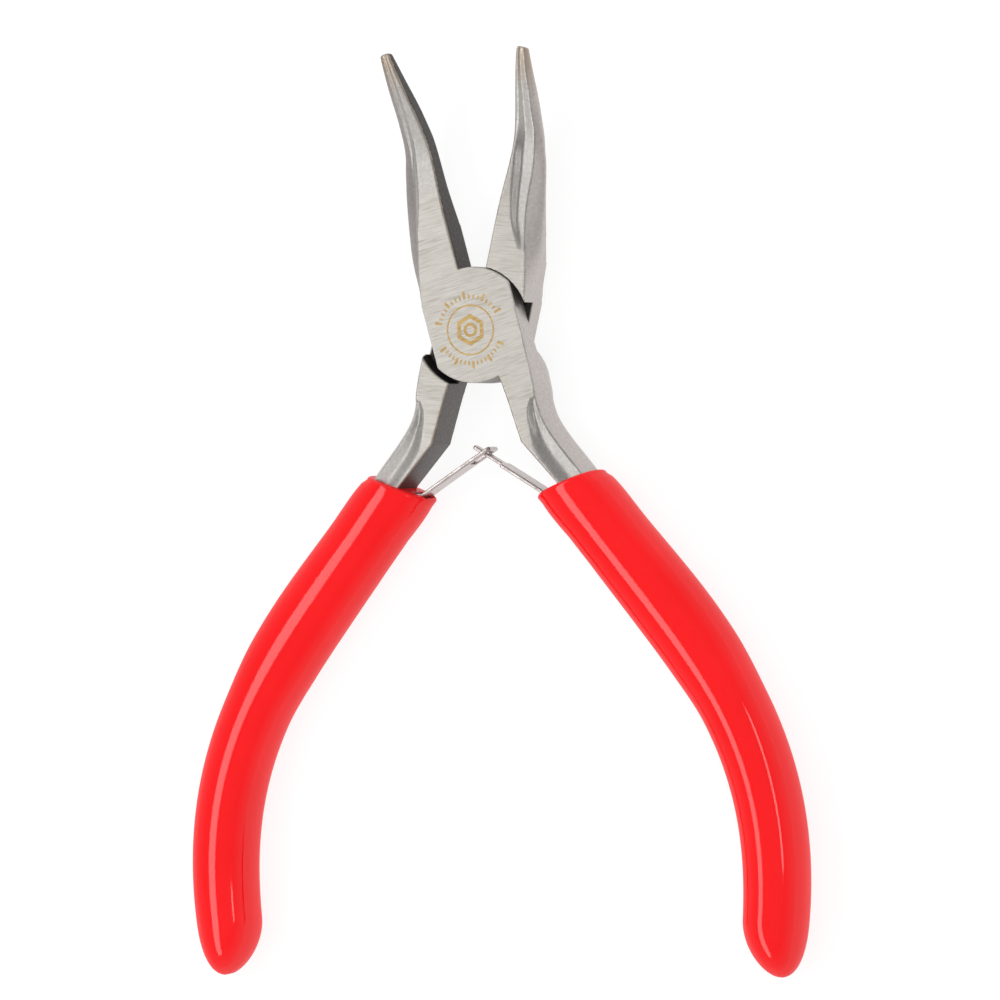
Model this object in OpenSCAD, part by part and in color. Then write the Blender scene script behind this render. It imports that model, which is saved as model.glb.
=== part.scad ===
// Mini bent-nose pliers with sprung handles.
// Two steel levers lap at a flush rivet. A leaf spring on each handle pushes
// them open: the narrow leaf passes through a window in the wide one. Each
// handle ends in a tang inside a dip-moulded grip.
// The tool lies flat. +Y runs along the jaws, +Z along the rivet, and the
// origin is on the rivet's axis at the ground back face of the head.

/* [Opening] */
// Angle between the levers as the springs hold them, in degrees
open_angle = 28; // [26:1:30]

/* [Head] */
// Thickness of the head across its two ground faces
head_t = 6.4; // [6.2:0.1:6.8]
// Radius of the round ends of the lap plates
lap_r = 7.55; // [7.3:0.05:7.6]
// Distance between the straight sides of the lap plates
lap_w = 12.7; // [12.4:0.1:12.8]
// Gap between the two lap plates
lap_gap = 0.05; // [0.04:0.01:0.1]
// Radius of the step below each jaw
jaw_step_r = 7.72; // [7.7:0.02:7.9]
// Radius of the step above each handle
handle_step_r = 8.3; // [8.1:0.1:8.6]

/* [Jaws] */
// Distance from the rivet to the jaw tips
jaw_l = 36.6; // [34:0.2:38]
// Distance from the rivet to the bend in the jaws
bend_y = 23.6; // [22:0.2:25]
// Angle of the bend, in degrees
bend_angle = 25; // [15:0.5:28]
// Thickness of the jaws at their root
jaw_t = 4.9; // [4.5:0.1:5.5]
// Thickness of the jaws at the bend
bend_t = 3.3; // [3:0.1:3.8]
// Thickness of the jaws at the tips
tip_t = 1.7; // [1.5:0.1:2.2]
// Width of each tip
tip_w = 1.8; // [1.3:0.1:2.2]
// Distance from the middle plane to each inner jaw face
jaw_gap = 0.06; // [0.05:0.01:0.15]

/* [Rivet] */
// Radius of the shank
rivet_r = 2.4; // [2:0.1:2.8]
// Radius of the countersunk head
rivet_head_r = 3.5; // [3.2:0.1:3.8]
// Depth of the countersunk head
rivet_head_t = 1.1; // [0.8:0.1:1.2]
// Running clearance between the rivet and the back lever
rivet_play = 0.05; // [0.03:0.01:0.08]

/* [Springs] */
// Thickness of a leaf
leaf_t = 0.5; // [0.4:0.05:0.6]
// Width of a leaf
leaf_w = 3.4; // [3:0.1:3.6]
// Length of the wide leaf from its pin
wide_leaf_l = 12.9; // [12.8:0.1:13.2]
// Length of the narrow leaf from its pin
narrow_leaf_l = 13.4; // [13.2:0.1:13.8]
// Width of the tongue at the end of the narrow leaf
tongue_w = 1.4; // [1.2:0.1:1.6]
// Width of the window in the wide leaf
window_w = 2; // [1.9:0.1:2.2]
// Radius of the spring pins
pin_r = 0.6; // [0.5:0.05:0.7]
// Running clearance between a pin and the eye of its leaf
pin_play = 0.05; // [0.03:0.01:0.08]

/* [Handles] */
// Thickness of the tangs inside the grips
tang_t = 5.6; // [5.4:0.1:6]
// Half of the width of the tangs
tang_half_w = 2.9; // [2.6:0.1:3]
// Thickness of the grips
grip_t = 8.9; // [8.7:0.1:9.4]
// Distance from the rivet to the mouths of the grips
mouth_y = 22.9; // [22.7:0.1:23.1]

/* [Hidden] */
round_fn = 96;
small_fn = 48;
mid_z = head_t / 2;
past = 1;                     // how far a cutter runs past what it cuts

// A lever as it lies in the closed pliers, with its jaw on the left of the
// middle plane and its handle on the right.
jaw_outer = [[-6.35, 4], [-6.3, 10], [-5.4, 15], [-3.95, 24.5]];
root_end = 9;                 // where the thick root of the back jaw ends
root_run = 3;                 // run of the slope behind that root
flat_end = 15;                // where the ground face of a jaw starts to fall
bend_drop = 1;                // how far it has fallen at the bend
under_bend = [-2, 1.5];       // where the underside turns, before and after bend_y
tip_fall = 2;                 // where the top starts to round off, before the tip
tip_round = 0.3;
shank_inner = [[1.5, -6.5], [1.9, -10.3], [2.3, -16.4], [5.5, -22.5]];
shank_outer = [[9.1, -21.5], [7, -18.2], [5.85, -15.3], [5.6, -12.3], [6.2, -10.1]];
shank_end = [6, 9.8];         // its two edges just inside the grip
spring_pin = [4, -24.5];

// The curve through the middle of a grip, from its mouth to its end
spine = [[6.8, -mouth_y], [15.2, -44.6], [29.9, -60.9], [15.8, -90.9]];

// Half width of a grip at a few places along the spine
grip_half_w = [
  [0, 3.95], [0.05, 4.45], [0.14, 4.65], [0.3, 4.85], [0.43, 4.75], [0.54, 4.4], [0.88, 4.2], [1, 3.9]
];
flare = 0.6;                  // how far the inner side stands out at the mouth
flare_end = 0.09;             // where along the spine that has faded out
spine_start = -0.05;          // the rings begin above the mouth and are cut off at it
round_start = 0.925;          // where the rounded end begins
nose_power = 2.2;             // how full the rounded end is
nose_close = 0.985;           // how nearly it closes to a point
nose_step = 12;
end_shift = 1.3;              // how far the end leans to the outer side
grip_power = 2.5;             // 2 is an ellipse, more is squarer
grip_sides = 28;
grip_rings = 26;
tang_span = [0.06, 0.9];      // the part of the spine that the tang follows
tang_steps = 20;

// The spring leaves, as angles from +Y in the closed lever's frame
leaf_rest = 44.1;
leaf_room = [9.7, 55.3];      // what a leaf sweeps, with room to spare
leaf_room_r = 6;
leaf_room_steps = 6;
window_start = 9.2;
window_end = 12.35;
tongue_start = 8.4;
eye_r = pin_r + pin_play + leaf_t;
eye_room = 0.2;
lug_r = 1.4;
lug_l = 3;
lug_turn = -27;
slot_w = leaf_w + 0.3;

function bezier(p, t) =
  pow(1 - t, 3) * p[0] + 3 * pow(1 - t, 2) * t * p[1]
  + 3 * (1 - t) * t * t * p[2] + t * t * t * p[3];
function slope(p, t) =
  3 * pow(1 - t, 2) * (p[1] - p[0]) + 6 * (1 - t) * t * (p[2] - p[1]) + 3 * t * t * (p[3] - p[2]);
function outward(p, t) = let (d = slope(p, t)) [-d[1], d[0]] / norm(d);
function along(from, to, n) = [for (i = [0:n]) from + (to - from) * i / n];

// Left hand pieces mirror the right hand ones.
module right_hand() {
  rotate(open_angle / 2) children();
}

module left_hand() {
  mirror([1, 0, 0]) right_hand() children();
}

module slab(z0, z1) {
  translate([0, 0, z0]) linear_extrude(z1 - z0) children();
}

// The jaw's plan is cut to its side view. root_z is the underside at the root.
module jaw(root_z) {
  lean = tan(bend_angle);
  bend_z = head_t - bend_drop;
  tip_z = bend_z + (jaw_l - bend_y) * lean;
  outline = concat(
    [[-jaw_gap, 0], [-jaw_gap, jaw_l - tip_round], [-jaw_gap - tip_round, jaw_l]],
    [[-tip_w + tip_round, jaw_l], [-tip_w, jaw_l - tip_round]],
    [for (i = [len(jaw_outer) - 1:-1:0]) jaw_outer[i]],
    [[-lap_w / 2, 0]]);
  underside = [
    [0, root_z], [root_end, root_z], [root_end + root_run, head_t - jaw_t],
    [bend_y + under_bend[0], bend_z - bend_t],
    [bend_y + under_bend[1], bend_z - bend_t + under_bend[1] * lean],
    [jaw_l, tip_z - tip_t]
  ];
  top_side = [
    [jaw_l + past, tip_z], [jaw_l - tip_fall, tip_z - tip_fall * lean],
    [bend_y, bend_z], [flat_end, head_t], [0, head_t]
  ];
  intersection() {
    slab(-past, 3 * head_t) polygon(outline);
    rotate([90, 0, 90]) translate([0, 0, -lap_w]) linear_extrude(lap_w)
      polygon(concat(underside, top_side));
  }
}

module lap_plate() {
  slab(0, head_t) intersection() {
    circle(r = lap_r, $fn = round_fn);
    square([lap_w, 2 * lap_r], center = true);
  }
}

module shank() {
  slab(0, head_t) polygon(concat(
    [[0, 0]], shank_inner, [for (x = shank_end) [x, -mouth_y - past]], shank_outer,
    [[lap_w / 2, 0]]));
}

module tang() {
  steps = along(tang_span[0], tang_span[1], tang_steps);
  inner = [for (t = steps) bezier(spine, t) - tang_half_w * outward(spine, t)];
  outer = [for (t = steps) bezier(spine, t) + tang_half_w * outward(spine, t)];
  slab(mid_z - tang_t / 2, mid_z + tang_t / 2) polygon(concat(
    [shank_inner[3]], inner,
    [for (i = [len(outer) - 1:-1:0]) outer[i]], [shank_outer[0]]));
}

// The lug that holds the spring pin beside the tang
module spring_lug() {
  slab(mid_z - tang_t / 2, mid_z + tang_t / 2) translate(spring_pin) {
    circle(r = lug_r, $fn = small_fn);
    rotate(lug_turn) translate([0, -lug_r]) square([lug_l, 2 * lug_r]);
  }
}

// The space that a leaf and its eye sweep
module leaf_sweep() {
  sweep = along(leaf_room[0], leaf_room[1], leaf_room_steps);
  slab(mid_z - slot_w / 2, mid_z + slot_w / 2) translate(spring_pin) {
    circle(r = eye_r + eye_room, $fn = small_fn);
    polygon(concat([[0, 0]], [for (a = sweep) leaf_room_r * [-sin(a), cos(a)]]));
  }
}

module handle() {
  shank();
  tang();
  spring_lug();
}

// One lever. The front lever keeps the upper half of the lap, the back one
// keeps the lower half.
module lever(front) {
  cut_z0 = front ? -past : mid_z - lap_gap / 2;
  cut_z1 = front ? mid_z + lap_gap / 2 : head_t + past;
  difference() {
    union() {
      jaw(front ? head_t - jaw_t : 0);
      lap_plate();
      handle();
    }
    slab(cut_z0, cut_z1) {
      intersection() {
        circle(r = jaw_step_r, $fn = round_fn);
        translate([-2 * lap_w, 0]) square([4 * lap_w, lap_w]);
      }
      intersection() {
        circle(r = handle_step_r, $fn = round_fn);
        translate([-2 * lap_w, -lap_w]) square([4 * lap_w, lap_w]);
      }
    }
    if (front) {
      cylinder(r = rivet_r, h = head_t + past, $fn = round_fn);
    } else {
      translate([0, 0, -past])
        cylinder(r = rivet_r + rivet_play, h = head_t, $fn = round_fn);
      translate([0, 0, -past])
        cylinder(r = rivet_head_r + rivet_play, h = rivet_head_t + rivet_play + past, $fn = round_fn);
    }
    translate(spring_pin) cylinder(r = pin_r, h = head_t, $fn = small_fn);
    leaf_sweep();
  }
}

// A leaf along +Y from its eye, which turns about Z at the origin
module leaf(length) {
  difference() {
    union() {
      cylinder(r = eye_r, h = leaf_w, center = true, $fn = small_fn);
      translate([-leaf_t / 2, 0, -leaf_w / 2]) cube([leaf_t, length, leaf_w]);
    }
    cylinder(r = pin_r + pin_play, h = 2 * leaf_w, center = true, $fn = small_fn);
    children();
  }
}

module window_cut() {
  translate([-leaf_t, window_start, -window_w / 2])
    cube([2 * leaf_t, window_end - window_start, window_w]);
}

module tongue_cut() {
  for (side = [-1, 1]) scale([1, 1, side])
    translate([-leaf_t, tongue_start, tongue_w / 2]) cube([2 * leaf_t, narrow_leaf_l, leaf_w]);
}

module place_leaf() {
  translate([spring_pin[0], spring_pin[1], mid_z]) rotate(leaf_rest) children();
}

module spring_pin_body() {
  translate([spring_pin[0], spring_pin[1], mid_z])
    cylinder(r = pin_r, h = tang_t, center = true, $fn = small_fn);
}

// One ring of the grip: a superellipse across the spine. The rings shrink to
// a round nose past round_start.
function nose(t) = t < round_start ? 0 : (t - round_start) / (1 - round_start);
function grip_ring(t) =
  let (
    shrink = sqrt(1 - nose_close * pow(nose(t), nose_power)),
    n = outward(spine, t),
    c = bezier(spine, t) + end_shift * pow(nose(t), 2) * n,
    w = lookup(t, grip_half_w) * shrink,
    lip = flare * max(0, 1 - t / flare_end)
  )
  [for (i = [0:grip_sides - 1])
    let (
      a = 360 * i / grip_sides,
      u = sign(cos(a)) * pow(abs(cos(a)), 2 / grip_power),
      v = sign(sin(a)) * pow(abs(sin(a)), 2 / grip_power),
      side = u < 0 ? w + lip : w,
      p = c + u * side * n
    ) [p[0], p[1], mid_z + v * grip_t / 2 * shrink]];

module grip_solid() {
  body_t = along(spine_start, round_start, grip_rings);
  nose_t = [for (a = [nose_step:nose_step:90 - nose_step / 2]) round_start + (1 - round_start) * sin(a)];
  rings = concat(body_t, nose_t, [1]);
  last = len(rings) - 1;
  points = [for (t = rings) each grip_ring(t)];
  sides = [for (r = [0:last - 1]) for (i = [0:grip_sides - 1])
    let (j = (i + 1) % grip_sides, a = r * grip_sides, b = a + grip_sides)
    each [[a + i, a + j, b + j], [a + i, b + j, b + i]]];
  mouth_face = [for (i = [grip_sides - 1:-1:0]) i];
  end_face = [for (i = [0:grip_sides - 1]) last * grip_sides + i];
  polyhedron(points, concat([mouth_face], sides, [end_face]));
}

module grip() {
  difference() {
    grip_solid();
    slab(-head_t, 3 * head_t) translate([-lap_w, -mouth_y]) square([4 * lap_w, lap_w]);
    handle();
    leaf_sweep();
  }
}

module front_lever() {
  color("silver") right_hand() lever(true);
}

module back_lever() {
  color("silver") left_hand() lever(false);
}

module pivot_rivet() {
  color("gainsboro") {
    cylinder(r = rivet_r, h = head_t, $fn = round_fn);
    cylinder(r = rivet_head_r, h = rivet_head_t, $fn = round_fn);
  }
}

module right_leaf_spring() {
  color("lightgray") right_hand() place_leaf() leaf(narrow_leaf_l) tongue_cut();
}

module left_leaf_spring() {
  color("lightgray") left_hand() place_leaf() leaf(wide_leaf_l) window_cut();
}

module right_spring_pin() {
  color("gray") right_hand() spring_pin_body();
}

module left_spring_pin() {
  color("gray") left_hand() spring_pin_body();
}

module right_grip() {
  color("red") right_hand() grip();
}

module left_grip() {
  color("red") left_hand() grip();
}

front_lever();
back_lever();
pivot_rivet();
right_leaf_spring();
left_leaf_spring();
right_spring_pin();
left_spring_pin();
right_grip();
left_grip();
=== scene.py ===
import math
from types import SimpleNamespace

import bmesh
import bpy
import numpy as np
from mathutils import Matrix, Vector


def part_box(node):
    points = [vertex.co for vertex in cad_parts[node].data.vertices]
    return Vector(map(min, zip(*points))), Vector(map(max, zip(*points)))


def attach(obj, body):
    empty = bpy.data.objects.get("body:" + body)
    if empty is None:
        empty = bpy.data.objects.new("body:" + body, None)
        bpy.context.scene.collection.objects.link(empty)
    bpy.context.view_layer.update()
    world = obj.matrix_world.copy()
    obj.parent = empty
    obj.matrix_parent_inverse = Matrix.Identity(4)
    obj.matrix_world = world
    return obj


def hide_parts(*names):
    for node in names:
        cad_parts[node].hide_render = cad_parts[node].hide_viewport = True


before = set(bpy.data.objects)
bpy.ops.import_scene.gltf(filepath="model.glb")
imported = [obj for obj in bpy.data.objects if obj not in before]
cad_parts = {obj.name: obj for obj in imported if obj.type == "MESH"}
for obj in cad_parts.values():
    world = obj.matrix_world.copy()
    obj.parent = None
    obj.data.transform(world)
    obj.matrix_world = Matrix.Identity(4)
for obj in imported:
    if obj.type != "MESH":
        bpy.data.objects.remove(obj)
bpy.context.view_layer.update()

MM = 0.001
OPEN = math.radians(14)  # half of the angle between the levers at rest
HEAD_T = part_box("pivot_rivet")[1].z / MM  # distance between the two ground faces
MID = HEAD_T / 2
LAP_R, LAP_HALF = 7.55, 6.35  # radius of the lap plates' ends, and half of their width
LAP_PLAY = 0.025  # half of the gap between the lap plates
JAW_STEP_R, HANDLE_STEP_R = 7.64, 8.3
STEP_LEAN = 0.6  # how far the front lever's handle step leans back, over its depth
RIVET_R, RIVET_HEAD_R, RIVET_HEAD_T = 2.4, 3.5, 1.1
RIVET_TOP = HEAD_T - 0.35  # the rest of the rivet is ground into the front face
RIVET_PLAY, RIVET_TOP_PLAY = 0.05, 0.03
JAW_GAP = 0.06  # distance from the middle plane to each inner jaw face
JAW_TIP_Y = 36.6
MOUTH_Y = -22.9  # where the grips begin
LEAF_REST = math.radians(44.1)
SPRING_PIN = (4.0, -24.5)
FLOOR_Z = min(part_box("right_grip")[0].z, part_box("left_grip")[0].z)


# ---------------------------------------------------------------- shape tools
def spline(points, steps=10):
    """A Catmull-Rom curve through points, which may carry extra values."""
    p = np.array(points, float)
    p = np.vstack([2 * p[0] - p[1], p, 2 * p[-1] - p[-2]])
    out = []
    for a, b, c, d in zip(p[:-3], p[1:-2], p[2:-1], p[3:]):
        for t in np.arange(steps) / steps:
            out.append(0.5 * (2 * b + (c - a) * t + (2 * a - 5 * b + 4 * c - d) * t * t
                              + (3 * b - a - 3 * c + d) * t ** 3))
    return np.array(out + [p[-2]])


def table(points):
    """A smooth function through (x, value) pairs."""
    s = spline(points)
    return lambda x: np.interp(x, s[:, 0], s[:, 1])


def near(x, y, line):
    """Distance from each point to a polyline, and its extra values at the nearest place."""
    best = np.full(x.shape, 1e9)
    extra = [np.zeros(x.shape) for _ in range(line.shape[1] - 2)]
    for a, b in zip(line[:-1], line[1:]):
        dx, dy = b[0] - a[0], b[1] - a[1]
        t = np.clip(((x - a[0]) * dx + (y - a[1]) * dy) / max(dx * dx + dy * dy, 1e-9), 0, 1)
        d = np.hypot(x - a[0] - t * dx, y - a[1] - t * dy)
        closer = d < best
        best = np.where(closer, d, best)
        for k in range(len(extra)):
            extra[k] = np.where(closer, a[2 + k] + t * (b[2 + k] - a[2 + k]), extra[k])
    return [best, *extra]


def inside(x, y, outline):
    """True where a point lies in a closed outline."""
    odd = np.zeros(x.shape, bool)
    for a, b in zip(outline, np.roll(outline, -1, axis=0)):
        if a[1] != b[1]:
            odd ^= ((y > a[1]) != (y > b[1])) & (x < a[0] + (y - a[1]) * (b[0] - a[0]) / (b[1] - a[1]))
    return odd


def smax(a, b, k):
    """The larger of two fields, with the edge between them rounded over k."""
    h = np.maximum(k - np.abs(a - b), 0)
    return np.maximum(a, b) + h * h / (4 * k)


def fade(x, start, end):
    """0 at start, 1 at end and an S-curve between."""
    t = np.clip((x - start) / (end - start), 0, 1)
    return t * t * (3 - 2 * t)


def surface(field, origin, h):
    """A closed quad mesh where a sampled field crosses zero. Below zero is inside."""
    solid = field < 0
    count = corner_count(solid)
    cells = np.argwhere((count > 0) & (count < 8))
    index = np.full(count.shape, -1, np.int64)
    index[tuple(cells.T)] = np.arange(len(cells))
    total, hits = np.zeros((len(cells), 3)), np.zeros(len(cells))
    for axis in range(3):
        others = [i for i in range(3) if i != axis]
        for u in (0, 1):
            for v in (0, 1):
                low = np.zeros(3, int)
                low[others[0]], low[others[1]] = u, v
                high = low.copy()
                high[axis] = 1
                f0 = field[tuple((cells + low).T)].astype(float)
                f1 = field[tuple((cells + high).T)].astype(float)
                cross = (f0 < 0) != (f1 < 0)
                t = f0[cross] / (f0[cross] - f1[cross])
                total[cross] += low + t[:, None] * (high - low)
                hits[cross] += 1
    verts = np.array(origin) + h * (cells + total / hits[:, None])
    quads = []
    for axis in range(3):
        b, c = (axis + 1) % 3, (axis + 2) % 3
        first = [slice(1, -1)] * 3
        second = [slice(1, -1)] * 3
        first[axis], second[axis] = slice(0, -1), slice(1, None)
        s0, s1 = solid[tuple(first)], solid[tuple(second)]
        at = np.argwhere(s0 != s1)
        out = s0[tuple(at.T)]
        at = at + np.array([0 if i == axis else 1 for i in range(3)])
        ring = []
        for u, v in ((-1, -1), (0, -1), (0, 0), (-1, 0)):
            cell = at.copy()
            cell[:, b] += u
            cell[:, c] += v
            ring.append(index[tuple(cell.T)])
        ring = np.stack(ring, 1)
        ring[~out] = ring[~out][:, ::-1]
        quads.append(ring)
    return verts, np.vstack(quads)


def corner_count(solid):
    """How many of each cell's eight corners are inside."""
    lows, highs = slice(0, -1), slice(1, None)
    count = 0
    for i in (lows, highs):
        for j in (lows, highs):
            for k in (lows, highs):
                count = count + solid[i, j, k].astype(np.int8)
    return count


def place(verts, hand, angle=OPEN):
    """Points of the closed right hand frame, opened, and mirrored for the left hand (-1)."""
    c, s = math.cos(angle), math.sin(angle)
    out = verts.copy()
    out[:, 0] = (verts[:, 0] * c - verts[:, 1] * s) * hand
    out[:, 1] = verts[:, 0] * s + verts[:, 1] * c
    return out


def arc(radius, start, end, n):
    """Points on an arc about the origin, between two angles in degrees."""
    a = np.radians(np.linspace(start, end, n))
    return np.stack([radius * np.cos(a), radius * np.sin(a)], 1)


def link_object(name, mesh):
    obj = bpy.data.objects.new(name, mesh)
    bpy.context.scene.collection.objects.link(obj)
    return obj


def mesh_piece(name, verts, faces, hand=1, marks=None):
    """A smooth shaded object from points in millimetres. Faces turn over for the left hand."""
    mesh = bpy.data.meshes.new(name)
    mesh.from_pydata((verts * MM).tolist(), [], [face[::hand] for face in faces])
    mesh.polygons.foreach_set("use_smooth", np.ones(len(mesh.polygons), bool))
    if marks is not None:
        layer = mesh.attributes.new("finish", "FLOAT_COLOR", "POINT")
        layer.data.foreach_set("color", marks.astype(np.float32).ravel())
    mesh.update()
    return link_object(name, mesh)


def face_outward(mesh):
    """Turns every face of a closed mesh outward."""
    bm = bmesh.new()
    bm.from_mesh(mesh)
    bmesh.ops.recalc_face_normals(bm, faces=bm.faces)
    bm.to_mesh(mesh)
    bm.free()


# -------------------------------------------------------------------- levers
# Plan of a closed lever: jaw to the left of the middle plane, handle to the
# right. Each point of an outer line is its place, the width of the bevel there
# and how much of the side stays upright.
JAW_OUTER = [
    (-1.62, 36.5, 0.5, 0), (-2.45, 32.7, 0.8, 0), (-2.8, 31, 0.85, 0), (-3.25, 28.5, 0.95, 0),
    (-3.6, 26.7, 0.95, 0), (-4.15, 24, 1.15, 0), (-4.8, 21.65, 1.45, 0), (-5.75, 17, 2.0, 0.05),
    (-6.5, 12.3, 1.85, 0.2), (-6.62, 9.5, 1.3, 0.35), (-6.5, 7, 0.65, 0.5), (-6.38, 4.8, 0.12, 0.6),
    (-6.35, 3.2, 0.03, 0.6)]
SHANK_OUTER = [
    (6.35, 0.5, 0.03, 0.6), (6.38, -2, 0.12, 0.5), (6.5, -5, 0.35, 0.3), (6.8, -8.5, 0.75, 0.1),
    (6.92, -10.6, 1.0, 0), (6.8, -12.4, 1.15, 0), (7.05, -14.6, 1.15, 0), (8.05, -17.4, 1.1, 0),
    (9.4, -20.3, 1.1, 0), (10.25, -22.2, 1.1, 0), (11.0, -24.2, 1.1, 0), (11.3, -26.9, 1.1, 0)]
SHANK_INNER = [(1.593, -7.38), (1.9, -10.3), (2.3, -16.4), (5.5, -22.5), (6.2, -24.0), (6.3, -26.9)]
JAW_FRONT = table([
    (-5, 6.4), (11, 6.4), (13.5, 6.4), (16, 6.3), (18.5, 6.02), (21, 5.66), (23.5, 5.55), (25.5, 5.93),
    (27.5, 6.8), (29.7, 7.95), (33, 9.7), (35.6, 10.8), (36.8, 11.05)])
JAW_BACK = table([
    (-5, 1.4), (12, 1.4), (14, 1.62), (18.5, 2.45), (22.7, 2.62), (25.3, 2.9), (27.3, 3.75),
    (29.65, 5.0), (33, 7.4), (35.87, 9.4), (36.8, 10.0)])
BACK_ROOT_END = 13  # where the back jaw's root meets the jaw
BACK_ROOT = table([(-5, 0), (8.6, 0), (9.3, 0.12), (12, 1.25), (12.6, 1.4), (13.2, 1.5)])
# the jaw's front steps down from its ground strip to a facet beside the ridge
HOLLOW_DEPTH = table([
    (0, 0), (9.6, 0), (11.2, 0.08), (13.5, 0.3), (16, 0.44), (19, 0.5), (23, 0.5), (26, 0.46), (30, 0.34),
    (33, 0.24), (35.8, 0.12), (37, 0.08)])
# how far across the front face the step starts and ends; the front lever's is ground wider
BACK_HOLLOW_FROM = table([
    (10, 0.8), (12, 0.7), (14, 0.54), (16.3, 0.42), (19.7, 0.24), (23, 0.12), (25.3, 0.12), (28.7, 0.24),
    (37, 0.28)])
BACK_HOLLOW_TO = table([
    (10, 0.95), (12, 0.9), (14, 0.77), (16.3, 0.7), (19.7, 0.6), (23, 0.5), (25.3, 0.56), (28.7, 0.54),
    (37, 0.46)])
FRONT_HOLLOW_FROM = table([
    (10, 1), (13, 1), (16.3, 0.9), (19.7, 0.78), (23, 0.7), (25.3, 0.62), (28.7, 0.52), (32, 0.42),
    (37, 0.36)])
FRONT_HOLLOW_TO = table([
    (10, 1.1), (13, 1.1), (16.3, 1.04), (19.7, 0.98), (23, 0.93), (25.3, 0.88), (28.7, 0.82), (32, 0.74),
    (37, 0.68)])
FRONT_HOLLOW_SHARE = 0.8  # of the back lever's depth
FACET_RISE = 0.22  # how much of the depth a facet wins back at its ridge
FACET_REACH = 0.5  # over how much of a jaw's face it does so
# the shank is scooped inside its ridge: depth and width along the shank
SCOOP_DEPTH = table([
    (-28, 0.3), (-20, 0.36), (-16, 0.46), (-13.8, 0.56), (-12.4, 0.42), (-11.2, 0.16), (-10.4, 0), (0, 0)])
SCOOP_WIDTH = table([
    (-28, 3.4), (-19, 3.2), (-16.5, 2.6), (-15, 2.0), (-13.8, 1.7), (-12.4, 1.25), (-11.2, 0.6), (-10.4, 0.2),
    (0, 0.2)])
SCOOP_AT = 0.42  # how far across from the ridge the scoop's facet ends
SCOOP_BACK_SHARE = 0.6  # of the front's depth, on the back face
BEVEL_CURVE = 0.72  # below 1, a bevel bulges
HEAD_ROUND, LEVER_ROUND, RECESS_ROUND = 0.09, 0.2, 0.07  # rounding of the edges
FACE_SLOPE = 0.85  # roughly turns a height over a sloping face into a distance
LEVER_STEP = 0.125  # between the samples of a lever's field
LEVER_LOW, LEVER_HIGH = (-8.3, -27.3, -0.5), (12.3, 37.2, 11.6)
# how much painted shade each kind of side gets, where 1 is a jaw's inner side
SHANK_SIDE_SHADE, LAP_END_SHADE, FRONT_BEVEL_SHADE = 0.85, 0.7, 0.4
RIM_WIDTH, TIP_WARMTH = 0.13, 0.9
FRONT_TIP_HIGHLIGHT, BACK_TIP_HIGHLIGHT = 0.15, 0.5  # of the painted highlight on the tip, at most a half


def lever_outline(jaw_line, shank_line):
    """The closed outline in plan, from the jaw's tip down its outer side and back up."""
    corner = math.degrees(math.acos(LAP_HALF / LAP_R))
    tip = [(-JAW_GAP, 36.25), (-0.12, 36.5), (-0.36, JAW_TIP_Y), (-1.05, JAW_TIP_Y)]
    return np.vstack([
        tip,
        jaw_line[:, :2],
        arc(LAP_R, 180 + corner, 282.2, 30),
        SHANK_INNER,
        shank_line[::-1, :2],
        arc(LAP_R, corner, 90.45, 30)])


def jaw_hollow(x, y, to_ridge, front):
    """Depth of the step between a jaw's inner edge and its ridge."""
    across = np.clip(-x - JAW_GAP, 0, None)
    t = across / np.maximum(across + np.maximum(to_ridge, 0.01), 0.05)
    starts, ends = (FRONT_HOLLOW_FROM, FRONT_HOLLOW_TO) if front else (BACK_HOLLOW_FROM, BACK_HOLLOW_TO)
    start, end = starts(y), ends(y)
    dip = fade(t, start, end) * (1 - FACET_RISE * np.clip((t - end) / FACET_REACH, 0, 1))
    dip = dip * (FRONT_HOLLOW_SHARE if front else 1)
    return HOLLOW_DEPTH(y) * dip


def shank_scoop(y, to_ridge):
    """Depth of the scoop beside a shank's ridge."""
    across = to_ridge / SCOOP_WIDTH(y)
    facet = 1 - FACET_RISE * np.clip(1 - across / SCOOP_AT, 0, 1)
    return SCOOP_DEPTH(y) * (fade(across, 1, SCOOP_AT) * facet)


def lever_plan(x, y, front):
    """Fields over a lever's plan: distance outside it, height of both faces, and what is cut from them."""
    jaw_line, shank_line = spline(JAW_OUTER), spline(SHANK_OUTER)
    outline = lever_outline(jaw_line, shank_line)
    outside = near(x, y, np.vstack([outline, outline[:1]]))[0]
    outside = np.where(inside(x, y, outline), -outside, outside)
    jaw_edge, jaw_bevel, jaw_upright = near(x, y, jaw_line)
    shank_edge, shank_bevel, shank_upright = near(x, y, shank_line)
    jaw_side = (y > 2) & (x < 1)
    jaw_back = JAW_BACK(y) if front else np.where(y < BACK_ROOT_END, BACK_ROOT(y), JAW_BACK(y))
    dip = np.where(jaw_side, jaw_hollow(x, y, jaw_edge - jaw_bevel, front), 0)
    scoop = np.where(jaw_side, 0, shank_scoop(y, shank_edge - shank_bevel))
    top = np.where(jaw_side, JAW_FRONT(y), HEAD_T) - dip - scoop
    back = np.where(jaw_side, jaw_back, 0) + SCOOP_BACK_SHARE * scoop
    # outer bevels, front and back, meet at a rounded parting line
    middle = np.where(jaw_side, (JAW_FRONT(y) + back) / 2, MID)
    share = 1
    for edge, width, upright in ((jaw_edge, jaw_bevel, jaw_upright),
                                 (shank_edge, shank_bevel, shank_upright)):
        rise = np.clip(edge / np.maximum(width, 0.02), 0, 1) ** BEVEL_CURVE
        share = np.minimum(share, upright + (1 - upright) * rise)
    return SimpleNamespace(
        outside=outside, dip=dip, scoop=scoop, shank_edge=shank_edge, bevel=np.clip((1 - share) / 0.08, 0, 1),
        top=middle + (top - middle) * share, back=middle - (middle - back) * share)


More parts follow.
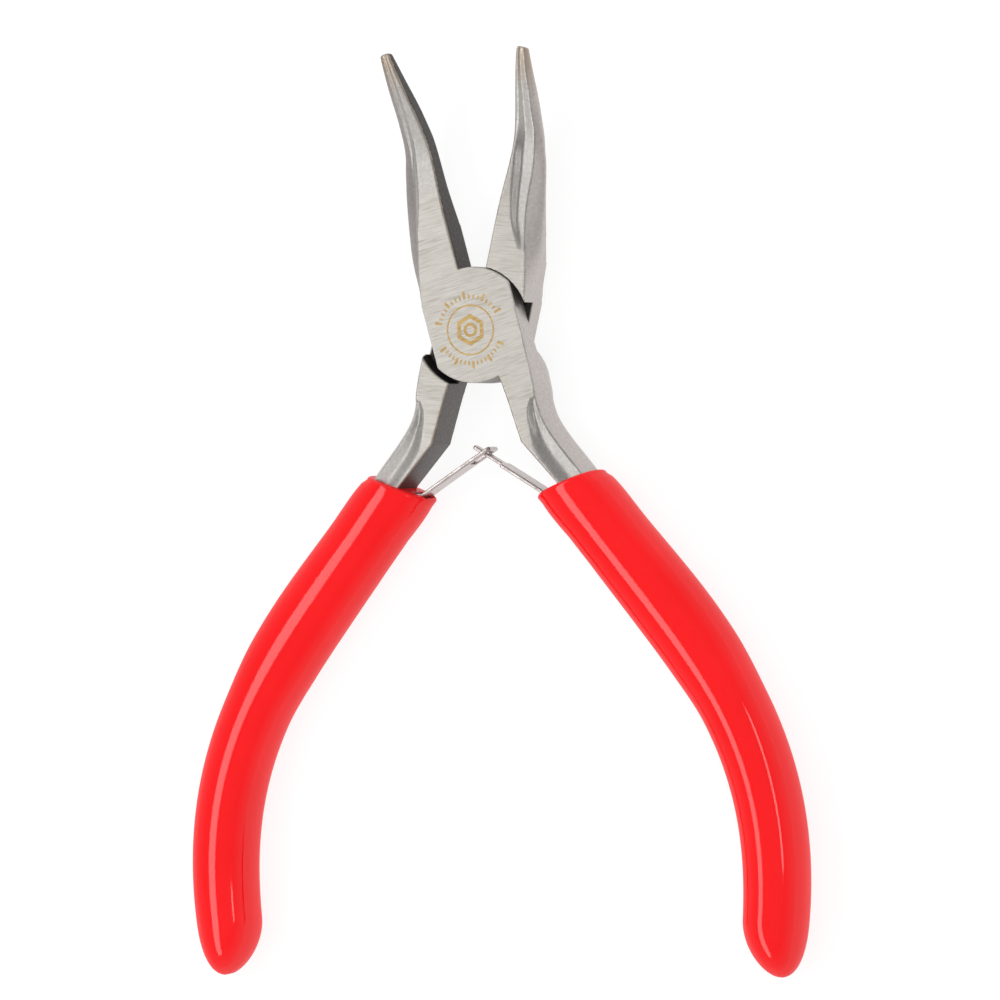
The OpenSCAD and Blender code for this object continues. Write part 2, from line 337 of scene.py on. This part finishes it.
def lever_field(plan, x, y, z, front):
    """Below zero inside the lever."""
    r = np.hypot(x, y)
    rounding = (HEAD_ROUND + (LEVER_ROUND - HEAD_ROUND) * fade(r, 7, 8.5))[:, :, None]
    faces = smax(z - plan.top[:, :, None], plan.back[:, :, None] - z, rounding) * FACE_SLOPE
    field = smax(faces, plan.outside[:, :, None], rounding)
    # the recess for the other lever ends in a step, which leans back at the handle's outer side
    into_step = (r - np.where(y > 0, JAW_STEP_R, HANDLE_STEP_R))[:, :, None]
    if front:
        lean = np.where(y > 0, 0, STEP_LEAN * fade(plan.shank_edge, 2.5, 0))
        recess = np.maximum(into_step - lean[:, :, None] * (MID - z), z - MID - LAP_PLAY)
    else:
        recess = np.maximum(into_step, MID - LAP_PLAY - z)
    field = smax(field, -recess, RECESS_ROUND)
    # the rivet is ground away into the front face, so its bore stops short of it
    bore = RIVET_R if front else RIVET_R + RIVET_PLAY
    field = np.maximum(field, np.minimum((bore - r)[:, :, None], RIVET_TOP + RIVET_TOP_PLAY - z))
    if not front:
        head_seat = np.maximum((r - RIVET_HEAD_R - RIVET_PLAY)[:, :, None], z - RIVET_HEAD_T - RIVET_PLAY)
        field = np.maximum(field, -head_seat)
    return field


def lever_finish(verts, plan, front):
    """What each point is: R ground face, G painted shade on the sides, B warm edge, A facet (half) to painted
    highlight on the tip (full).
    """
    x, y, z = verts.T
    i, j = (np.clip(np.round((v - low) / LEVER_STEP).astype(int), 0, n - 1)
            for v, low, n in zip((x, y), LEVER_LOW, plan.top.shape))
    outside, top, back, bevel = (field[i, j] for field in (plan.outside, plan.top, plan.back, plan.bevel))
    r = np.hypot(x, y)
    face = fade(z - top, -0.22, -0.06) * (1 - fade(bevel, 0, 1)) * (outside < -0.06)
    worn = np.where(y > 5, fade(y, 21.5, 16.5), fade(y, -20, -16))
    hollow = fade(plan.dip[i, j] + plan.scoop[i, j], 0, 0.1)
    ground_back = (z < 0.04) * fade(y, -19, -16) * (y < 9)
    ground = np.maximum(face * worn * (1 - hollow), ground_back)
    # painted shade: inner sides between the levers, the recess's floor and step, and the round ends of the
    # lap plates
    inner = np.minimum(near(x, y, np.array([(-JAW_GAP, 36.4), (-JAW_GAP, LAP_R)]))[0],
                       near(x, y, np.array(SHANK_INNER))[0])
    side = (inner < 0.22) & (z < top - 0.12) & (z > back + 0.05)
    side = side * np.where(y > 0, 1, SHANK_SIDE_SHADE)
    step_r = np.where(y > 0, JAW_STEP_R, HANDLE_STEP_R)
    lap_side = (z < MID + 0.06) if front else (z > MID - 0.06)
    floor = (np.abs(z - MID) < 0.14) & (r < step_r + 0.1)
    wall = lap_side & (np.abs(r - step_r) < 0.16) & (z < top - 0.35) & (z > back + 0.35)
    lap_end = ((np.abs(r - LAP_R) < 0.12) & (outside > -0.12) & (np.abs(x) < LAP_HALF - 0.8)
               & (z < top - 0.1) & (z > back + 0.1))
    painted_shade = np.maximum(np.maximum(side, (floor | wall) & (outside < -0.1)), LAP_END_SHADE * lap_end)
    # painted shade on the front lever's outer bevel, the side turned away from the light
    if front:
        painted_shade = np.maximum(painted_shade, FRONT_BEVEL_SHADE * bevel * (z > MID) * fade(y, 4, 9))
    rim = np.exp(-(np.maximum(inner - 0.05, 0) / RIM_WIDTH) ** 2) * (z > top - 0.2)
    rim = np.maximum(rim, TIP_WARMTH * fade(y, 30, 36) * (1 - side))
    tip_highlight_share = FRONT_TIP_HIGHLIGHT if front else BACK_TIP_HIGHLIGHT
    # the facet's tone on the unground front face, then a painted highlight on the tip beyond the bend
    facet_and_tip_highlight = face * (1 - ground) * (0.5 + tip_highlight_share * fade(y, 23.5, 27.5))
    return np.stack([ground, painted_shade, rim, facet_and_tip_highlight], 1)


def lever(name, front, hand):
    xs, ys, zs = (np.arange(a, b + LEVER_STEP, LEVER_STEP) for a, b in zip(LEVER_LOW, LEVER_HIGH))
    x, y = np.meshgrid(xs, ys, indexing="ij")
    plan = lever_plan(x, y, front)
    field = lever_field(plan, x, y, zs[None, None, :], front)
    verts, quads = surface(field.astype(np.float32), LEVER_LOW, LEVER_STEP)
    return mesh_piece(name, place(verts, hand), quads.tolist(), hand, lever_finish(verts, plan, front))


# ------------------------------------------------------------------- springs
LEAF_T, LEAF_W = 0.5, 3.4
EYE_R, EYE_BORE = 1.15, 0.65
LEAF_BOW = 0.05  # how far a leaf's middle bows to the side
LEAF_CORNER, WINDOW_CORNER = 0.5, 0.3
SHOULDER, TONGUE_NOSE = 0.35, 0.25  # lengths of the tongue's shoulder and of its curved end
LEAF_ROUND, HOLE_ROUND = 0.16, 0.08  # rounding of a leaf's outer edges, and of its holes'
LEAF_STEP = 0.07  # between the samples of a leaf's field


def leaf(name, length, hand, window=None, tongue=None):
    """A leaf along +Y from the eye that turns on its pin.

    A window is given by its start, stop and half width, and a tongue by its start and half width.
    """
    low, high = (-1.5, -1.5, -2.0), (1.5, length + 0.4, 2.0)
    axes = [np.arange(a, b + LEAF_STEP, LEAF_STEP) for a, b in zip(low, high)]
    x, y, z = np.meshgrid(*axes, indexing="ij")
    half = LEAF_W / 2
    if tongue:
        start, tongue_half = tongue
        side = np.abs(z) - (half + (tongue_half - half) * fade(y, start, start + SHOULDER))
        end = y - length + TONGUE_NOSE * (np.abs(z) / tongue_half) ** 2
    else:
        side = np.abs(z) - half
        corner = np.hypot(np.maximum(side + LEAF_CORNER, 0), np.maximum(y - length + LEAF_CORNER, 0))
        end = corner - LEAF_CORNER
    bow = LEAF_BOW * np.sin(np.clip(y / length, 0, 1) * math.pi)
    strip = smax(np.abs(x - bow) - LEAF_T / 2, side, LEAF_ROUND)
    strip = smax(strip, smax(end, -y, LEAF_ROUND), LEAF_ROUND)
    eye = smax(np.hypot(x, y) - EYE_R, np.abs(z) - half, LEAF_ROUND)
    field = smax(np.minimum(strip, eye), EYE_BORE - np.hypot(x, y), HOLE_ROUND)
    if window:
        start, stop, window_half = window
        along = np.abs(y - (start + stop) / 2) - (stop - start) / 2
        field = smax(field, -smax(np.abs(z) - window_half, along, WINDOW_CORNER), HOLE_ROUND)
    verts, quads = surface(field.astype(np.float32), low, LEAF_STEP)
    turned = place(verts, 1, LEAF_REST) + np.array([*SPRING_PIN, MID])
    return mesh_piece(name, place(turned, hand), quads.tolist(), hand)


# --------------------------------------------------------------------- grips
# a grip's middle line as a cubic Bezier curve, and half of its width over the curve's parameter
SPINE = [np.array(p, float) for p in ((6.8, MOUTH_Y), (15.2, -44.6), (29.9, -60.9), (15.8, -90.9))]
HALF_WIDTH = table([
    (0, 4.0), (0.05, 4.45), (0.14, 4.65), (0.3, 4.87), (0.42, 4.8), (0.475, 4.62), (0.53, 4.42), (0.6, 4.36),
    (0.88, 4.2), (1, 3.9)])
GRIP_T = 8.9
GRIP_SIDES = 96
SQUARENESS = 2.35  # of a ring, where 2 is an ellipse
ROUND_START = 0.925  # where the rounded end begins
END_SHIFT = 1.3  # how far the rounded end leans across the spine
END_FLAT, END_POWER = 0.985, 2.2  # just below 1 leaves a small flat; above 2 blunts the end
LIP_R = 0.5
MOUTH_TILT = 0.13  # the mouth's outer side reaches further up the handle
MOUTH_FLARE, FLARE_END = 0.6, 0.09  # the mouth's inner side stands out, and where that ends
TURN_END = 0.16  # where the rings are fully turned across the spine
SIDE_START = 0.014  # the first ring of the side lies one step beyond this
# the slot that the leaf sweeps through the mouth; angles are measured at the pin from +Y
SLOT_FROM, SLOT_TO = math.radians(9.7), math.radians(55.3)
SLOT_HALF_T = 0.42  # half of its width beside the pin
SLOT_REACH = 6
SLOT_HALF_W = 1.85
EYE_ROOM_R = 1.26


def on_spine(t):
    """The spine's point at parameter t, and the direction across it."""
    a, b, c, d = SPINE
    p = (1 - t) ** 3 * a + 3 * (1 - t) ** 2 * t * b + 3 * (1 - t) * t * t * c + t ** 3 * d
    v = 3 * (1 - t) ** 2 * (b - a) + 6 * (1 - t) * t * (c - b) + 3 * t * t * (d - c)
    return p, np.array([-v[1], v[0]]) / np.linalg.norm(v)


def squared(x):
    """A sine or cosine, pushed outward so that a circle nears a square."""
    return math.copysign(abs(x) ** (2 / SQUARENESS), x)


def grip_ring(t, inset=0.0, push=0.0):
    """One ring across the spine. Near the mouth it turns to lie in the mouth's plane."""
    nose = max(0.0, (t - ROUND_START) / (1 - ROUND_START))
    shrink = math.sqrt(1 - END_FLAT * nose ** END_POWER)
    middle, normal = on_spine(t)
    middle = middle + END_SHIFT * nose ** 2 * normal + np.array([0, push])
    half_width = float(HALF_WIDTH(t)) * shrink - inset
    flare = MOUTH_FLARE * max(0.0, 1 - t / FLARE_END)
    turn = float(fade(t, 0, TURN_END))
    across = (1 - turn) * np.array([1 / normal[0], 0.0]) + turn * normal
    points = []
    for i in range(GRIP_SIDES):
        a = 2 * math.pi * i / GRIP_SIDES
        u, v = squared(math.cos(a)), squared(math.sin(a))
        side = half_width + (flare if u < 0 else 0)
        x, y = middle + u * side * across
        points.append((x, y + MOUTH_TILT * (1 - turn) * u * side, MID + v * (GRIP_T / 2 * shrink - inset)))
    return points


def grip(name, hand):
    rings = [grip_ring(0, inset) for inset in (3.2, 2.4, 1.6)]
    for a in np.radians(np.linspace(0, 90, 7)):
        rings.append(grip_ring(0, LIP_R * (1 - math.sin(a)), -LIP_R * (1 - math.cos(a))))
    for t in np.linspace(SIDE_START, ROUND_START, 170)[1:]:
        rings.append(grip_ring(t))
    for a in np.radians(np.linspace(0, 90, 26)[1:-1]):
        rings.append(grip_ring(ROUND_START + (1 - ROUND_START) * math.sin(a)))
    n = GRIP_SIDES
    verts = np.array([p for ring in rings for p in ring])
    faces = [list(range(n)), list(range(len(verts) - n, len(verts)))[::-1]]
    for r in range(len(rings) - 1):
        for i in range(n):
            j = (i + 1) % n
            faces.append([r * n + i, (r + 1) * n + i, (r + 1) * n + j, r * n + j])
    piece = mesh_piece(name, place(verts, hand), faces, hand)
    face_outward(piece.data)
    carve(piece, prism(name + "_slot", slot_outline(), hand))
    carve(piece, prism(name + "_eye", arc(EYE_ROOM_R, 0, 360, 37)[:-1] + np.array(SPRING_PIN), hand))
    return piece


def slot_outline():
    """A sector around the pin, with room for the leaf's thickness."""
    quarter = math.pi / 2
    places = [(SLOT_HALF_T, SLOT_TO + quarter), (SLOT_HALF_T, SLOT_FROM - quarter)]
    places += [(SLOT_REACH, a) for a in np.linspace(SLOT_FROM, SLOT_TO, 9)]
    return [(SPRING_PIN[0] - r * math.sin(a), SPRING_PIN[1] + r * math.cos(a)) for r, a in places]


def prism(name, outline, hand):
    """A cutter with the given outline in plan, as deep as the leaf's slot."""
    n = len(outline)
    verts = np.array([(x, y, z) for z in (MID - SLOT_HALF_W, MID + SLOT_HALF_W) for x, y in outline])
    faces = [list(range(n))[::-1], list(range(n, 2 * n))]
    faces += [[i, (i + 1) % n, n + (i + 1) % n, n + i] for i in range(n)]
    cutter = mesh_piece(name, place(verts, hand), faces, hand)
    face_outward(cutter.data)
    return cutter


def carve(piece, cutter):
    """Cuts cutter out of piece and deletes it."""
    mod = piece.modifiers.new("carve", "BOOLEAN")
    mod.operation, mod.solver, mod.object = "DIFFERENCE", "EXACT", cutter
    bpy.context.view_layer.update()
    made = bpy.data.meshes.new_from_object(piece.evaluated_get(bpy.context.evaluated_depsgraph_get()))
    piece.modifiers.remove(mod)
    piece.data = made
    bpy.data.objects.remove(cutter)


def rivet(name):
    """The rivet turned about the pivot, with its ground head at the back."""
    chamfer, head_chamfer, sides = 0.06, 0.1, 96
    profile = [
        (RIVET_HEAD_R - chamfer, 0), (RIVET_HEAD_R, chamfer),
        (RIVET_HEAD_R, RIVET_HEAD_T - head_chamfer), (RIVET_HEAD_R - head_chamfer, RIVET_HEAD_T),
        (RIVET_R, RIVET_HEAD_T), (RIVET_R, RIVET_TOP - chamfer), (RIVET_R - chamfer, RIVET_TOP)]
    verts = [(0, 0, 0), (0, 0, RIVET_TOP)]
    for r, z in profile:
        verts += [(r * math.cos(2 * math.pi * i / sides), r * math.sin(2 * math.pi * i / sides), z)
                  for i in range(sides)]
    faces = []
    last = len(verts) - sides
    for i in range(sides):
        j = (i + 1) % sides
        faces += [[0, 2 + j, 2 + i], [1, last + i, last + j]]
        faces += [[k + i, k + j, k + sides + j, k + sides + i] for k in range(2, last, sides)]
    piece = mesh_piece(name, np.array(verts, float), faces)
    piece.data.set_sharp_from_angle(angle=math.radians(35))
    return piece


# ----------------------------------------------------------------- materials
class Nodes:
    """Short calls to build one material's nodes."""

    def __init__(self, name):
        self.material = bpy.data.materials.new(name)
        self.material.use_nodes = True
        self.tree = self.material.node_tree
        self.shader = self.tree.nodes["Principled BSDF"]

    def add(self, kind, **properties):
        node = self.tree.nodes.new(kind)
        for name, value in properties.items():
            setattr(node, name, value)
        return node

    def fill(self, socket, value):
        """Gives a socket another node's output, a colour or a number."""
        if isinstance(value, bpy.types.NodeSocket):
            self.tree.links.new(value, socket)
        elif isinstance(value, tuple):
            socket.default_value = (*value, 1)
        else:
            socket.default_value = value

    def put(self, name, value):
        """Fills one of the surface shader's sockets."""
        self.fill(self.shader.inputs[name], value)

    def coords(self, scale=(1, 1, 1), rotation=(0, 0, 0)):
        """Object coordinates, turned first and then stretched."""
        source = self.add("ShaderNodeTexCoord")
        turned = self.add("ShaderNodeMapping")
        turned.inputs["Rotation"].default_value = rotation
        stretched = self.add("ShaderNodeMapping")
        stretched.inputs["Scale"].default_value = scale
        self.fill(turned.inputs["Vector"], source.outputs["Object"])
        self.fill(stretched.inputs["Vector"], turned.outputs["Vector"])
        return stretched.outputs["Vector"]

    def noise(self, vector, scale, detail, rough=0.55):
        node = self.add("ShaderNodeTexNoise")
        for name, value in (("Scale", scale), ("Detail", detail), ("Roughness", rough), ("Vector", vector)):
            self.fill(node.inputs[name], value)
        return node.outputs["Fac"]

    def ramp(self, fac, stops):
        """Colours, or greys given by one number, at places from 0 to 1."""
        node = self.add("ShaderNodeValToRGB")
        elements = node.color_ramp.elements
        while len(elements) < len(stops):
            elements.new(0.5)
        for element, (at, colour) in zip(elements, stops):
            element.position = at
            element.color = (*colour, 1) if isinstance(colour, tuple) else (colour, colour, colour, 1)
        self.fill(node.inputs["Fac"], fac)
        return node.outputs["Color"]

    def mix(self, fac, a, b):
        node = self.add("ShaderNodeMix", data_type="RGBA")
        for socket, value in ((0, fac), (6, a), (7, b)):
            self.fill(node.inputs[socket], value)
        return node.outputs[2]

    def math(self, operation, a, b):
        node = self.add("ShaderNodeMath", operation=operation)
        self.fill(node.inputs[0], a)
        self.fill(node.inputs[1], b)
        return node.outputs[0]

    def bump(self, height, strength, distance):
        node = self.add("ShaderNodeBump")
        for name, value in (("Strength", strength), ("Distance", distance), ("Height", height)):
            self.fill(node.inputs[name], value)
        self.put("Normal", node.outputs["Normal"])


METALLIC = 0.92  # of every steel


def lever_steel(name, hand):
    """Ground faces with fine lines across the lever, satin forged bevels, painted shade on the inner sides
    and a painted highlight on the tips.
    """
    n = Nodes(name)
    attribute = n.add("ShaderNodeAttribute", attribute_name="finish")
    split = n.add("ShaderNodeSeparateColor")
    n.fill(split.inputs["Color"], attribute.outputs["Color"])
    ground, painted_shade, rim = (split.outputs[channel] for channel in ("Red", "Green", "Blue"))
    # the grinding lines rise to the right on the front lever and fall a little on the back one
    turn = (0, 0, math.radians(-15 if hand > 0 else 6))
    fine = n.noise(n.coords((330, 7600, 330), turn), 1.0, 4.0, 0.7)
    broad = n.noise(n.coords((110, 1300, 110), turn), 1.0, 2.0)
    lines = n.math("ADD", n.math("MULTIPLY", fine, 0.82), n.math("MULTIPLY", broad, 0.18))
    ground_colour = n.ramp(lines, [
        (0.3, (0.34, 0.315, 0.275)), (0.45, (0.46, 0.435, 0.395)), (0.57, (0.54, 0.52, 0.485)),
        (0.72, (0.43, 0.405, 0.36))])
    speck = n.noise(n.coords(), 2600, 5.0, 0.7)
    cloud = n.math("MULTIPLY", n.noise(n.coords(), 420, 2.0), 0.6)
    forged = n.ramp(speck, [(0.3, (0.43, 0.39, 0.37)), (0.7, (0.65, 0.61, 0.585))])
    forged = n.mix(cloud, forged, (0.55, 0.505, 0.485))
    facet = n.ramp(speck, [(0.3, (0.36, 0.34, 0.315)), (0.7, (0.5, 0.485, 0.47))])
    # painted highlight: a brighter colour for the tip beyond the bend
    tip = n.ramp(speck, [(0.3, (0.54, 0.51, 0.475)), (0.7, (0.76, 0.74, 0.71))])
    # painted shade: a near-black colour for the inner sides, the recess and the lap ends
    painted_shade_colour = n.ramp(speck, [
        (0.3, (0.034, 0.03, 0.028)), (0.55, (0.068, 0.06, 0.057)), (0.75, (0.14, 0.124, 0.115))])
    # up to half, the attribute's alpha is the share of facet; beyond that, of the painted highlight on the
    # tip
    facet_and_tip_highlight = n.math("MULTIPLY", attribute.outputs["Alpha"], 2)
    is_facet = n.math("MINIMUM", facet_and_tip_highlight, 1)
    tip_highlight = n.math("MAXIMUM", n.math("SUBTRACT", facet_and_tip_highlight, 1), 0)
    colour = n.mix(tip_highlight, n.mix(is_facet, n.mix(ground, forged, ground_colour), facet), tip)
    colour = n.mix(n.math("MULTIPLY", rim, 0.55), colour, (0.42, 0.29, 0.17))
    # the painted shade darkens the colour where the attribute's green is set
    n.put("Base Color", n.mix(painted_shade, colour, painted_shade_colour))
    rough = n.mix(ground, n.ramp(speck, [(0.2, 0.4), (0.8, 0.52)]), n.ramp(lines, [(0.3, 0.46), (0.7, 0.36)]))
    rough = n.mix(is_facet, rough, (0.38, 0.38, 0.38))
    n.put("Roughness", n.mix(painted_shade, rough, (0.5, 0.5, 0.5)))
    n.put("Metallic", METALLIC)
    n.bump(n.mix(ground, speck, lines), 0.25, 0.00004)
    return n.material


def plain_steel(name, low, high, rough, stretch, turn=0.0):
    """Steel of two colours, with a grain that is finest along the axis of greatest stretch."""
    n = Nodes(name)
    grain = n.noise(n.coords(stretch, (0, 0, turn)), 1.0, 4.0, 0.65)
    n.put("Base Color", n.ramp(grain, [(0.3, low), (0.7, high)]))
    n.put("Roughness", n.ramp(grain, [(0.3, rough + 0.08), (0.7, rough - 0.05)]))
    n.put("Metallic", METALLIC)
    n.bump(grain, 0.15, 0.00003)
    return n.material


def red_vinyl():
    """Dipped vinyl: its gloss comes from a clear coat alone."""
    n = Nodes("red_dip")
    flow = n.noise(n.coords(), 55, 2.0)
    pores = n.noise(n.coords(), 900, 3.0)
    n.put("Base Color", n.ramp(flow, [(0.3, (0.93, 0.005, 0.007)), (0.7, (1.0, 0.009, 0.013))]))
    n.put("Roughness", n.ramp(pores, [(0.3, 0.26), (0.7, 0.33)]))
    n.put("Coat Weight", 0.36)
    n.put("Coat IOR", 1.9)
    n.put("Coat Roughness", 0.07)
    n.put("Specular IOR Level", 0.0)
    n.bump(flow, 0.08, 0.0004)
    return n.material


def etched():
    n = Nodes("etched_bronze")
    grain = n.noise(n.coords((400, 4000, 400), (0, 0, -OPEN)), 1.0, 3.0)
    n.put("Base Color", n.ramp(grain, [(0.3, (0.42, 0.27, 0.09)), (0.7, (0.62, 0.43, 0.17))]))
    n.put("Metallic", 0.35)
    n.put("Roughness", 0.5)
    n.bump(grain, 0.2, 0.00003)
    return n.material


def paint(obj, material):
    obj.data.materials.clear()
    obj.data.materials.append(material)


# ---------------------------------------------------------------------- mark
MARK_X, MARK_Y = -0.4, -0.65
MARK_LOW, MARK_TOP = HEAD_T - 0.02, HEAD_T + 0.012
TICK_FROM, TICK_TO, LONG_TICK_TO = 4.05, 4.6, 5.05
TICK_HALF, LONG_TICK_HALF = 0.11, 0.17


def etched_mark(name):
    """A plain dial: a ring, two rows of ticks and a hexagon. It carries no lettering."""
    bm = bmesh.new()

    def corner(x, y, z):
        return bm.verts.new(((MARK_X + x) * MM, (MARK_Y + y) * MM, z * MM))

    def plate(points):
        low, top = ([corner(x, y, z) for x, y in points] for z in (MARK_LOW, MARK_TOP))
        bm.faces.new(low[::-1])
        bm.faces.new(top)
        for i in range(len(points)):
            j = (i + 1) % len(points)
            bm.faces.new([low[i], low[j], top[j], top[i]])

    def band(outer, inner, sides, turn=0.0):
        angles = [turn + 2 * math.pi * i / sides for i in range(sides)]
        places = ((outer, MARK_LOW), (outer, MARK_TOP), (inner, MARK_TOP), (inner, MARK_LOW))
        rings = [[corner(r * math.cos(a), r * math.sin(a), z) for a in angles] for r, z in places]
        for p, q in zip(rings, rings[1:] + rings[:1]):
            for i in range(sides):
                j = (i + 1) % sides
                bm.faces.new([p[i], p[j], q[j], q[i]])

    band(3.32, 3.1, 96)
    band(2.1, 1.5, 6, math.pi / 6)
    band(0.95, 0.55, 48)
    for start, end in ((32, 168), (212, 336)):
        for k, a in enumerate(np.radians(np.linspace(start, end, 17))):
            stop, half = (LONG_TICK_TO, LONG_TICK_HALF) if k % 4 == 0 else (TICK_TO, TICK_HALF)
            c, s = math.cos(a), math.sin(a)
            corners = ((TICK_FROM, -half), (stop, -half), (stop, half), (TICK_FROM, half))
            plate([(r * c - w * s, r * s + w * c) for r, w in corners])
    bmesh.ops.recalc_face_normals(bm, faces=bm.faces)
    mesh = bpy.data.meshes.new(name)
    bm.to_mesh(mesh)
    bm.free()
    return link_object(name, mesh)


# --------------------------------------------------------------------- build
front_lever = lever("front_lever_forging", True, 1)
back_lever = lever("back_lever_forging", False, -1)
for piece, node, body, hand in ((front_lever, "front_lever", "front_half", 1),
                                (back_lever, "back_lever", "back_half", -1)):
    paint(piece, lever_steel(node + "_steel", hand))
    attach(piece, body)
    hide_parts(node)

right_leaf = leaf("right_leaf_strip", 13.4, 1, tongue=(8.4, 0.7))
left_leaf = leaf("left_leaf_strip", 12.9, -1, window=(9.2, 12.35, 1.0))
spring_steel = plain_steel(
    "spring_strip_steel", (0.44, 0.385, 0.37), (0.64, 0.58, 0.56), 0.3, (900, 900, 9000))
for piece, node, body in ((right_leaf, "right_leaf_spring", "right_leaf"),
                          (left_leaf, "left_leaf_spring", "left_leaf")):
    paint(piece, spring_steel)
    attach(piece, body)
    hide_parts(node)

vinyl = red_vinyl()
for name, node, body, hand in (("right_dipped_grip", "right_grip", "front_half", 1),
                               ("left_dipped_grip", "left_grip", "back_half", -1)):
    piece = grip(name, hand)
    paint(piece, vinyl)
    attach(piece, body)
    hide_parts(node)

mark = etched_mark("etched_dial")
paint(mark, etched())
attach(mark, "front_half")

rivet_steel = plain_steel(
    "rivet_ground_steel", (0.6, 0.57, 0.53), (0.83, 0.81, 0.78), 0.28, (260, 5200, 260), -OPEN)
pin_steel = plain_steel("pin_steel", (0.5, 0.48, 0.45), (0.75, 0.73, 0.7), 0.32, (2000, 2000, 6000))
pivot = rivet("ground_rivet")
paint(pivot, rivet_steel)
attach(pivot, "front_half")
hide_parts("pivot_rivet")
for node in ("right_spring_pin", "left_spring_pin"):
    paint(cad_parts[node], pin_steel)

# --------------------------------------------------------------------- stage
scene = bpy.context.scene
bm = bmesh.new()
bmesh.ops.create_grid(bm, x_segments=1, y_segments=1, size=1.5)
floor_mesh = bpy.data.meshes.new("floor")
bm.to_mesh(floor_mesh)
bm.free()
floor = link_object("floor", floor_mesh)
floor.location.z = FLOOR_Z
white = Nodes("floor_white")
white.put("Base Color", (0.16, 0.16, 0.16))
white.put("Roughness", 0.9)
white.put("Specular IOR Level", 0.0)
white.put("Emission Color", (1, 1, 1))
white.put("Emission Strength", 0.87)
paint(floor, white.material)

world = bpy.data.worlds.new("studio")
scene.world = world
world.use_nodes = True
# a room that is dim overhead, between the softboxes, and pale near the horizon
sky = world.node_tree
direction = sky.nodes.new("ShaderNodeTexCoord")
height = sky.nodes.new("ShaderNodeSeparateXYZ")
shades = sky.nodes.new("ShaderNodeValToRGB")
for element, (at, grey) in zip(shades.color_ramp.elements, ((0.15, 0.72), (0.75, 0.3))):
    element.position = at
    element.color = (grey, grey, grey, 1)
sky.links.new(direction.outputs["Generated"], height.inputs["Vector"])
sky.links.new(height.outputs["Z"], shades.inputs["Fac"])
sky.links.new(shades.outputs["Color"], sky.nodes["Background"].inputs["Color"])
sky.nodes["Background"].inputs["Strength"].default_value = 1

CAMERA_DISTANCE, VIEW_WIDTH, SENSOR = 0.8, 0.13, 36
YAW, ROLL = math.radians(22), math.radians(1.5)
AIM = Vector((1.83, -22.8, 3.2)) * MM
out_of_view = Vector((math.sin(YAW), 0, math.cos(YAW)))
up = Vector((0, 1, 0))
right = up.cross(out_of_view)
right, up = (math.cos(ROLL) * right - math.sin(ROLL) * up, math.sin(ROLL) * right + math.cos(ROLL) * up)
camera = bpy.data.objects.new("camera", bpy.data.cameras.new("camera"))
camera.data.sensor_width = SENSOR
camera.data.lens = SENSOR * CAMERA_DISTANCE / VIEW_WIDTH
camera.matrix_world = Matrix((
    (right.x, up.x, out_of_view.x, 0), (right.y, up.y, out_of_view.y, 0), (right.z, up.z, out_of_view.z, 0),
    (0, 0, 0, 1)))
camera.location = AIM + CAMERA_DISTANCE * out_of_view
camera.data.clip_start, camera.data.clip_end = 0.01, 10
scene.collection.objects.link(camera)
scene.camera = camera
scene.view_settings.view_transform = "Standard"


def softbox(name, tilt, distance, middle_y, size, power, glossy=True):
    """A soft light over the object, long in Y, tilted from overhead towards +X by some degrees."""
    light = bpy.data.lights.new(name, "AREA")
    light.shape = "RECTANGLE"
    light.size, light.size_y = size
    light.energy = power
    obj = bpy.data.objects.new(name, light)
    back = Vector((math.sin(math.radians(tilt)), 0, math.cos(math.radians(tilt))))
    side = Vector((0, 1, 0)).cross(back)
    at = distance * back
    obj.matrix_world = Matrix((
        (side.x, 0, back.x, at.x), (0, 1, 0, middle_y), (side.z, 0, back.z, at.z), (0, 0, 0, 1)))
    obj.visible_glossy = glossy
    scene.collection.objects.link(obj)


softbox("main_box", -28, 0.75, -0.2, (0.155, 1.6), 2.75)
softbox("second_box", 37, 0.75, 0.06, (0.09, 0.34), 0.42)
softbox("fill_box", 8, 1.1, 0, (1.0, 1.2), 5.2, glossy=False)
